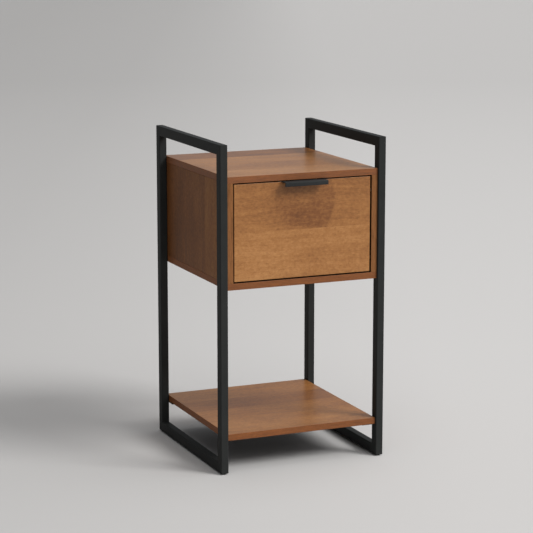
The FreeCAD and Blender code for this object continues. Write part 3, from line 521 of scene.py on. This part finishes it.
def floor_paint(name, stage):
    """Matt painted floor that reflects no shape; painted shade darkens it slowly to the left and to the
    back.
    """
    material, tree = new_material(name)
    coords = add(tree, "ShaderNodeTexCoord").outputs["Object"]
    turned = add(tree, "ShaderNodeMapping", {"Vector": coords, "Rotation": (0, 0, YAW)})
    split = add(tree, "ShaderNodeSeparateXYZ", {0: turned.outputs[0]})
    across = {"Value": split.outputs["X"], "From Min": -FLOOR_HALF_WIDTH, "From Max": FLOOR_HALF_WIDTH}
    place = add(tree, "ShaderNodeMapRange", across).outputs[0]
    clouds = even_noise(tree, FLOOR_CLOUD, 2)
    value = weighted(tree, [(clouds, 0.01)], place)
    stops = [(at, [shade * part for part in stage.floor]) for at, shade in FLOOR_PAINTED_LIGHT]
    near = add(tree, "ShaderNodeValToRGB", {"Fac": value}, stops, interpolation="B_SPLINE")
    # Painted shade: the floor's colour fades towards black further back.
    away = add(tree, "ShaderNodeMapRange", {"Value": split.outputs["Y"], **FLOOR_PAINTED_FADE}).outputs[0]
    mix = {"Factor": away, 6: near.outputs["Color"], 7: (0, 0, 0, 1)}
    shown = add(tree, "ShaderNodeMix", mix, data_type="RGBA").outputs[2]
    finish(tree, shown, ROUGHNESS["floor"], None, {"Specular IOR Level": 0.1})
    return material


def dress(material, *names):
    """Give frame nodes a material."""
    for name in names:
        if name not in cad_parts:
            raise RuntimeError("no node called " + name)
        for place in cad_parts[name].material_slots:
            place.material = material


def grid_faces(rows, ring, outwards=1):
    """The faces between rows of points, each row a closed ring."""
    index = np.arange(rows * ring).reshape(rows, ring)
    follow = np.roll(index, -1, axis=1)
    faces = np.stack([index[:-1], follow[:-1], follow[1:], index[1:]], axis=-1).reshape(-1, 4)
    return index, faces[:, ::outwards].tolist()


def closed_mesh(name, points):
    """A mesh from rows of points: each row is a ring, and the end rings get flat caps."""
    rows, ring, _ = points.shape
    index, faces = grid_faces(rows, ring)
    faces += [index[0, ::-1].tolist(), index[-1].tolist()]
    mesh = bpy.data.meshes.new(name)
    mesh.from_pydata(points.reshape(-1, 3).tolist(), [], faces)
    mesh.validate()
    mesh.shade_smooth()
    return mesh


def new_piece(name, mesh, material, body):
    """An object at the origin, finished, riding on a body."""
    piece = bpy.data.objects.new(name, mesh)
    bpy.context.scene.collection.objects.link(piece)
    mesh.materials.append(material)
    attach(piece, body)
    return piece


def rounded_rectangle(half_wide, half_tall, radius):
    """Points round a rectangle: each corner is a quarter circle about its own centre."""
    turns = np.linspace(0, math.pi / 2, CORNER_STEPS + 1)
    quarter = np.stack([np.cos(turns), np.sin(turns)], axis=-1) * radius
    corner = np.array([half_wide - radius, half_tall - radius])
    parts = []
    for i, signs in enumerate(((1, 1), (-1, 1), (-1, -1), (1, -1))):
        turn = i * math.pi / 2
        spin = np.array([[math.cos(turn), math.sin(turn)], [-math.sin(turn), math.cos(turn)]])
        parts.append(quarter @ spin + corner * signs)
    return np.concatenate(parts)


def soften_ends(path, heading, soft):
    """Add rings near both ends that draw in along a quarter circle, so the cut ends are rounded."""
    step = soft * (1 - np.sqrt(1 - (1 - SOFT_SHARES) ** 2))
    travel = soft * SOFT_SHARES
    first = path[1] - path[0]
    first = first / np.hypot(*first)
    last = path[-1] - path[-2]
    last = last / np.hypot(*last)
    start = path[0] + first * travel[:, None]
    end = path[-1] - last * travel[::-1, None]
    path = np.concatenate([start, path[1:-1], end])
    starts = np.full(len(step), heading[0])
    ends = np.full(len(step), heading[-1])
    heading = np.concatenate([starts, heading[1:-1], ends])
    inset = np.concatenate([step, np.zeros(len(path) - 2 * len(step)), step[::-1]])
    return path, heading, inset


def folded_strip(low, high, thick, radius, soft):
    """Rings of the pull: a rounded rectangle carried along a path with one bend.

    The path runs forwards along the top flange, turns down through a quarter circle and runs
    down the lip. Across it the ring lies along x, and its thickness points away from the path.
    """
    half_wide = (high[0] - low[0]) / 2
    half_thick = thick / 2
    turns = np.linspace(0, math.pi / 2, BEND_STEPS + 1)
    centre = np.array([low[1] + half_thick + radius, high[2] - half_thick - radius])
    arc = centre + radius * np.stack([-np.sin(turns), np.cos(turns)], axis=-1)
    back = [[high[1], high[2] - half_thick]]
    tip = [[low[1] + half_thick, low[2]]]
    path = np.concatenate([back, arc, tip])
    heading = np.concatenate([[0], turns, [math.pi / 2]])
    path, heading, inset = soften_ends(path, heading, soft)
    ring = rounded_rectangle(half_wide, half_thick, soft)
    offset = ring[None, :, 1] * (1 - inset[:, None] / half_thick)
    points = np.empty((len(path), len(ring), 3))
    points[..., 0] = (low[0] + high[0]) / 2 + ring[None, :, 0] * (1 - inset[:, None] / half_wide)
    points[..., 1] = path[:, None, 0] - np.sin(heading)[:, None] * offset
    points[..., 2] = path[:, None, 1] + np.cos(heading)[:, None] * offset
    return points


def weld_bead(x_low, x_high, y, z, y_way, z_way, leg):
    """A concave fillet weld across a tube, in a corner at y and z.

    The ring is two straight legs and a shallow arc between them. Its size swells and falls
    like the overlapping pools of a weld: leg times one plus a tenth of a cosine along x. It
    rounds off at both ends.
    """
    along = np.linspace(0, 1, WELD_RINGS)
    pools = 1 + WELD_SWELL * np.cos(along * 2 * math.pi * WELD_POOLS)
    taper = np.sqrt(np.clip(1 - (2 * along - 1) ** 8, 0.02, 1))
    size = leg * pools * taper
    turns = np.linspace(0, math.pi / 2, WELD_STEPS + 1)
    face = np.stack([1 - WELD_HOLLOW * np.sin(turns), 1 - WELD_HOLLOW * np.cos(turns)], axis=-1)
    legs = [[-WELD_BITE, -WELD_BITE]], [[1.0, -WELD_BITE]], face[::-1], [[-WELD_BITE, 1.0]]
    ring = np.concatenate(legs)
    if y_way * z_way < 0:
        ring = ring[::-1]
    points = np.empty((len(along), len(ring), 3))
    points[..., 0] = (x_low + (x_high - x_low) * along)[:, None]
    points[..., 1] = y + y_way * size[:, None] * ring[None, :, 0]
    points[..., 2] = z + z_way * size[:, None] * ring[None, :, 1]
    return points


def drawer_bay(mouth):
    """Tests that hold inside the drawer bay, behind its mouth: within its half width and height."""
    half_wide = abs(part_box("left_side_panel")[1][0]) + SLACK
    low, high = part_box("bottom_board")[1][2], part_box("top_board")[0][2]
    return [
        ("x", "COMPARE", 0.0, half_wide),
        ("z", "COMPARE", (low + high) / 2, (high - low) / 2 + SLACK),
        ("y", "GREATER_THAN", mouth, 0.0),
    ]


class SIDETABLE_OT_boards(bpy.types.Operator):
    """Finish the cabinet boards and the shelf"""

    bl_idname = "side_table.boards"
    bl_label = "Finish boards"

    def execute(self, context):
        wood = context.scene.side_table_wood
        # Painted shade: inside the drawer bay and on the shelf's underside the wood is darkened to stand
        # in for their shadow.
        bay = (wood.painted_inner_shade, drawer_bay(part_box("top_board")[0][1] + BAND))
        underside = (wood.painted_inner_shade, [("z", "COMPARE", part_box("shelf")[0][2], 0.3 * MM)])
        # Each board's planks: where each starts, as a share of its width, and its tone. Then the
        # board's gloss and its painted shade.
        level = {
            "top_board": ([(0.0, 0.68), (0.24, 0.55), (0.50, 0.62), (0.76, 0.38)], 0.85, bay),
            "bottom_board": ([(0.0, 0.46), (0.38, 0.54), (0.70, 0.50)], 0.7, bay),
            "shelf": ([(0.0, 0.60), (0.27, 0.53), (0.52, 0.45), (0.74, 0.55)], 0.7, underside),
        }
        upright = {
            "left_side_panel": ([(0.0, 0.46), (0.33, 0.37), (0.66, 0.32)], 0.1, bay),
            "right_side_panel": ([(0.0, 0.42), (0.40, 0.49), (0.72, 0.37)], 0.1, bay),
        }
        kinds = ((level, "xyz", 0.8, "tips"), (upright, "zyx", 0.6, "front"))
        for boards, axes, figure, band in kinds:
            for node, (planks, gloss, painted_shade) in boards.items():
                look = (axes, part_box(node), planks, figure, gloss, painted_shade, band)
                dress(lacquered_veneer("lacquered_walnut_" + node, *look), node)
        return {"FINISHED"}


class SIDETABLE_OT_drawer_front(bpy.types.Operator):
    """Finish the drawer front, with its darker heart and a rim darkened by painted shade"""

    bl_idname = "side_table.drawer_front"
    bl_label = "Finish drawer front"

    def execute(self, context):
        wood = context.scene.side_table_wood
        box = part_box("drawer_front")
        seam = (box[0][2] + box[1][2]) / 2
        # The tip is a height. The shadow grows from nothing to full across "left", and again
        # across "right", where it comes in from the other side. Depth is how much darker it is.
        heart = {
            "tip": 0.617, "curve": 4.5, "left": (-0.12, -0.01), "right": (0.083, 0.073),
            "from": seam, "depth": 0.13,
        }
        planks = [(0.0, 0.66), (0.5, 0.55)]
        # Painted shade: the drawer front's edges and back are darkened to stand in for the shadow in the
        # gap round it.
        rim = (wood.rim, [("y", "GREATER_THAN", box[0][1] + BAND, 0.0)])
        look = ("xzy", box, planks, 0.8, 0.7, rim)
        walnut = lacquered_veneer("lacquered_walnut_drawer_front", *look, heart=heart)
        dress(walnut, "drawer_front")
        return {"FINISHED"}


class SIDETABLE_OT_frames(bpy.types.Operator):
    """Finish the steel side frames, the shelf tabs and the glides"""

    bl_idname = "side_table.frames"
    bl_label = "Finish frames"

    def execute(self, context):
        steel = context.scene.side_table_steel
        tubes = ("front_post", "rear_post", "top_rail", "bottom_rail")
        names = ["%s_%s" % (side, tube) for side in SIDES for tube in tubes]
        dress(powder_coat("black_powder_coat_steel", steel.powder), *names, "shelf_brackets")
        dress(moulded_polyethylene("black_polyethylene"), "foot_glides")
        return {"FINISHED"}


class SIDETABLE_OT_drawer_box(bpy.types.Operator):
    """Finish the drawer box, the thin panels and the dowels"""

    bl_idname = "side_table.drawer_box"
    bl_label = "Finish drawer box"

    def execute(self, context):
        dress(birch_plywood("birch_plywood_sides", "y", "x"), "drawer_left_side", "drawer_right_side")
        dress(birch_plywood("birch_plywood_ends", "x", "y"), "drawer_inner_front", "drawer_back")
        dress(raw_fibres("hardboard", HARDBOARD), "back_panel", "drawer_bottom")
        dress(raw_fibres("beech_dowel", BEECH), "carcass_dowels")
        return {"FINISHED"}


class SIDETABLE_OT_fittings(bpy.types.Operator):
    """Finish the slides, screws, bolts and cams"""

    bl_idname = "side_table.fittings"
    bl_label = "Finish fittings"

    def execute(self, context):
        steel = context.scene.side_table_steel
        folded = ("cabinet_rail", "middle_rail", "drawer_rail", "outer_cage", "inner_cage")
        rails = ["%s_%s" % (side, part) for side in SIDES for part in folded]
        balls = ["%s_%s_balls" % (side, row) for side in SIDES for row in ("outer", "inner")]
        screws = (
            "shelf_screws", "frame_bolts", "rivet_nuts", "cam_bolts", "drawer_box_screws",
            "drawer_front_screws", "pull_screws", "cabinet_slide_screws", "drawer_slide_screws",
        )
        dress(bare_metal("zinc_plated_rolled_steel", steel.zinc, "rolled"), *rails)
        dress(bare_metal("zinc_plated_screws", steel.zinc, "turned"), *screws)
        dress(bare_metal("die_cast_zinc", steel.cast, "cast"), "cam_housings")
        dress(bare_metal("polished_bearing_steel", steel.balls, "polished"), *balls)
        return {"FINISHED"}


class SIDETABLE_OT_pull(bpy.types.Operator):
    """Fold the drawer pull from one strip of sheet"""

    bl_idname = "side_table.pull"
    bl_label = "Make pull"

    def execute(self, context):
        steel = context.scene.side_table_steel
        low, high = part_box("drawer_pull")
        sizes = (steel.pull_thick, steel.pull_bend, steel.pull_soft)
        mesh = closed_mesh("folded_pull", folded_strip(low, high, *sizes))
        black = powder_coat("black_powder_coat_pull", steel.pull)
        piece = new_piece("folded_pull", mesh, black, "drawer")
        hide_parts("drawer_pull")
        return {"FINISHED"}


class SIDETABLE_OT_welds(bpy.types.Operator):
    """Lay the small welds inside the frame corners"""

    bl_idname = "side_table.welds"
    bl_label = "Make welds"

    def execute(self, context):
        steel = context.scene.side_table_steel
        black = powder_coat("black_powder_coat_welds", steel.powder)
        for side in SIDES:
            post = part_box(side + "_front_post")
            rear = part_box(side + "_rear_post")
            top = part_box(side + "_top_rail")
            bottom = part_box(side + "_bottom_rail")
            seats = (
                ("front_top", post[1][1], top[0][2], 1, -1),
                ("front_bottom", post[1][1], bottom[1][2], 1, 1),
                ("rear_top", rear[0][1], top[0][2], -1, -1),
                ("rear_bottom", rear[0][1], bottom[1][2], -1, 1),
            )
            ends = (post[0][0] + WELD_INSET, post[1][0] - WELD_INSET)
            for place, *seat in seats:
                mesh = closed_mesh("weld", weld_bead(*ends, *seat, steel.weld))
                new_piece("%s_%s_weld" % (side, place), mesh, black, "table")
        return {"FINISHED"}


def lay_floor(stage):
    """A wide flat disc: rings of growing radius, so the middle is fine and the rim is far off."""
    radii = np.concatenate([[MM], np.geomspace(FLOOR_HUB, FLOOR_RADIUS, FLOOR_RINGS)])
    turns = np.linspace(0, 2 * math.pi, FLOOR_SPOKES, endpoint=False)
    points = np.zeros((len(radii), len(turns), 3))
    points[..., 0] = radii[:, None] * np.cos(turns)
    points[..., 1] = radii[:, None] * np.sin(turns)
    index, faces = grid_faces(len(radii), len(turns), -1)
    faces.append(index[0].tolist())
    mesh = bpy.data.meshes.new("floor")
    mesh.from_pydata(points.reshape(-1, 3).tolist(), [], faces)
    mesh.materials.append(floor_paint("matt_studio_floor", stage))
    floor = bpy.data.objects.new("floor", mesh)
    bpy.context.scene.collection.objects.link(floor)


def hang_lamps(scene, stage):
    """A broad soft key from the front right, and a very wide light from above."""
    lamps = (
        ("key", stage.key, stage.key_width, KEY_TURN),
        ("dome", stage.dome, stage.dome_width, DOME_TURN),
    )
    for name, strength, width, turn in lamps:
        lamp = bpy.data.lights.new(name, "SUN")
        lamp.energy = strength
        lamp.angle = width
        holder = bpy.data.objects.new(name, lamp)
        holder.rotation_euler = [math.radians(part) for part in turn]
        scene.collection.objects.link(holder)


def paint_sky(scene, stage):
    """A dim sky that is brighter on one side, and behind everything a plain backdrop like the floor."""
    world = bpy.data.worlds.new("soft_sky")
    world.use_nodes = True
    tree = world.node_tree
    tree.nodes.clear()
    way = add(tree, "ShaderNodeTexCoord").outputs["Generated"]
    facing = add(tree, "ShaderNodeVectorMath", {0: way, 1: BRIGHT_SIDE}, operation="DOT_PRODUCT")
    dim, bright = (stage.fill * part for part in SKY_RANGE)
    limits = {"Value": facing.outputs["Value"], "From Min": -1.0, "To Min": dim, "To Max": bright}
    level = add(tree, "ShaderNodeMapRange", limits).outputs[0]
    glow = add(tree, "ShaderNodeBackground", {"Color": (*stage.sky, 1), "Strength": level})
    backdrop = add(tree, "ShaderNodeBackground", {"Color": (*stage.floor, 1), "Strength": BACKDROP})
    seen = add(tree, "ShaderNodeLightPath").outputs["Is Camera Ray"]
    both = add(tree, "ShaderNodeMixShader", {0: seen, 1: glow.outputs[0], 2: backdrop.outputs[0]})
    add(tree, "ShaderNodeOutputWorld", {"Surface": both.outputs[0]})
    scene.world = world
    scene.view_settings.view_transform = "Standard"


def place_camera(scene, stage):
    """A long lens from the front left, a little above the top."""
    lens = bpy.data.cameras.new("camera")
    lens.lens = stage.lens
    lens.sensor_width = SENSOR_WIDTH
    lens.clip_end = 2.5 * FLOOR_RADIUS
    camera = bpy.data.objects.new("camera", lens)
    x, y, z = LOOKED_AT
    level = DISTANCE * math.cos(PITCH)
    rise = DISTANCE * math.sin(PITCH)
    camera.location = (x - level * math.sin(YAW), y - level * math.cos(YAW), z + rise)
    camera.rotation_euler = (math.radians(90) - PITCH, 0, -YAW)
    scene.collection.objects.link(camera)
    scene.camera = camera


class SIDETABLE_OT_stage(bpy.types.Operator):
    """Set the floor, the light and the camera"""

    bl_idname = "side_table.stage"
    bl_label = "Set stage"

    def execute(self, context):
        stage = context.scene.side_table_stage
        lay_floor(stage)
        hang_lamps(context.scene, stage)
        paint_sky(context.scene, stage)
        place_camera(context.scene, stage)
        return {"FINISHED"}


class SIDETABLE_PT_panel(bpy.types.Panel):
    """Steps and settings of the side table"""

    bl_idname = "SIDETABLE_PT_panel"
    bl_label = "Side table"
    bl_space_type = "VIEW_3D"
    bl_region_type = "UI"
    bl_category = "Side table"

    def draw(self, context):
        column = self.layout.column()
        for step in STEPS:
            column.operator(step.bl_idname)
        for group, kind in SETTINGS.items():
            for name in kind.__annotations__:
                column.prop(getattr(context.scene, group), name)


SETTINGS = {
    "side_table_wood": WoodSettings,
    "side_table_steel": SteelSettings,
    "side_table_stage": StageSettings,
}
STEPS = (
    SIDETABLE_OT_boards,
    SIDETABLE_OT_drawer_front,
    SIDETABLE_OT_frames,
    SIDETABLE_OT_drawer_box,
    SIDETABLE_OT_fittings,
    SIDETABLE_OT_pull,
    SIDETABLE_OT_welds,
    SIDETABLE_OT_stage,
)


def register():
    for group, kind in SETTINGS.items():
        bpy.utils.register_class(kind)
        setattr(bpy.types.Scene, group, PointerProperty(type=kind))
    for step in (*STEPS, SIDETABLE_PT_panel):
        bpy.utils.register_class(step)


def unregister():
    for step in reversed((*STEPS, SIDETABLE_PT_panel)):
        bpy.utils.unregister_class(step)
    for group, kind in SETTINGS.items():
        delattr(bpy.types.Scene, group)
        bpy.utils.unregister_class(kind)


def main():
    register()
    for step in STEPS:
        family, name = step.bl_idname.split(".")
        getattr(getattr(bpy.ops, family), name)()


if __name__ == "__main__":
    main()
